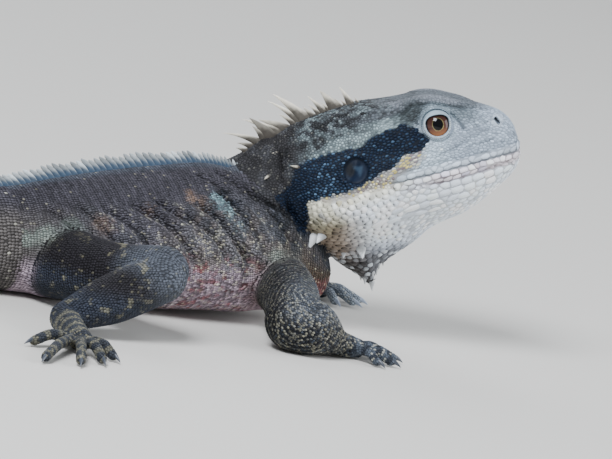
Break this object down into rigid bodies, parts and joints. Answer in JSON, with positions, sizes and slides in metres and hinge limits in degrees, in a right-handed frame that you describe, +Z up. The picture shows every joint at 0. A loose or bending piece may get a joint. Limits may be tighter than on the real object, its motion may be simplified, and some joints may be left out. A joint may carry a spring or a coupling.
{
  "type": "eastern water dragon",
  "caption": "Life-size eastern water dragon lizard at rest: belly on the floor, head raised, spiny crest from nape to tail, long curving tail and clawed spread toes.",
  "frame": {"origin": "centre of the bounding box at floor level", "axes": "+X along the snout's heading, +Y towards the animal's left side, +Z up"},
  "size_m": [0.5144, 0.3424, 0.0942],
  "materials": {
    "skin": "small keeled scales, satin, grey-brown back, pale head and throat with a dark band behind the eye",
    "eye": "wet clear cornea over a copper iris and round black pupil",
    "claw": "smooth dark horn, slightly glossy"
  },
  "bodies": {
    "root": {"head": "skin", "neck": "skin", "torso": "skin", "tail_1": "skin", "tail_2": "skin", "tail_3": "skin", "tail_4": "skin", "right_upper_arm": "skin", "right_forearm": "skin", "right_hand": "skin", "left_upper_arm": "skin", "left_forearm": "skin", "left_hand": "skin", "right_thigh": "skin", "right_shank": "skin", "right_foot": "skin", "left_thigh": "skin", "left_shank": "skin", "left_foot": "skin", "eye_left": "eye", "eye_right": "eye", "right_hand_claw_1": "claw", "right_hand_claw_2": "claw", "right_hand_claw_3": "claw", "right_hand_claw_4": "claw", "right_hand_claw_5": "claw", "left_hand_claw_1": "claw", "left_hand_claw_2": "claw", "left_hand_claw_3": "claw", "left_hand_claw_4": "claw", "left_hand_claw_5": "claw", "right_foot_claw_1": "claw", "right_foot_claw_2": "claw", "right_foot_claw_3": "claw", "right_foot_claw_4": "claw", "right_foot_claw_5": "claw", "left_foot_claw_1": "claw", "left_foot_claw_2": "claw", "left_foot_claw_3": "claw", "left_foot_claw_4": "claw", "left_foot_claw_5": "claw"}
  },
  "joints": []
}
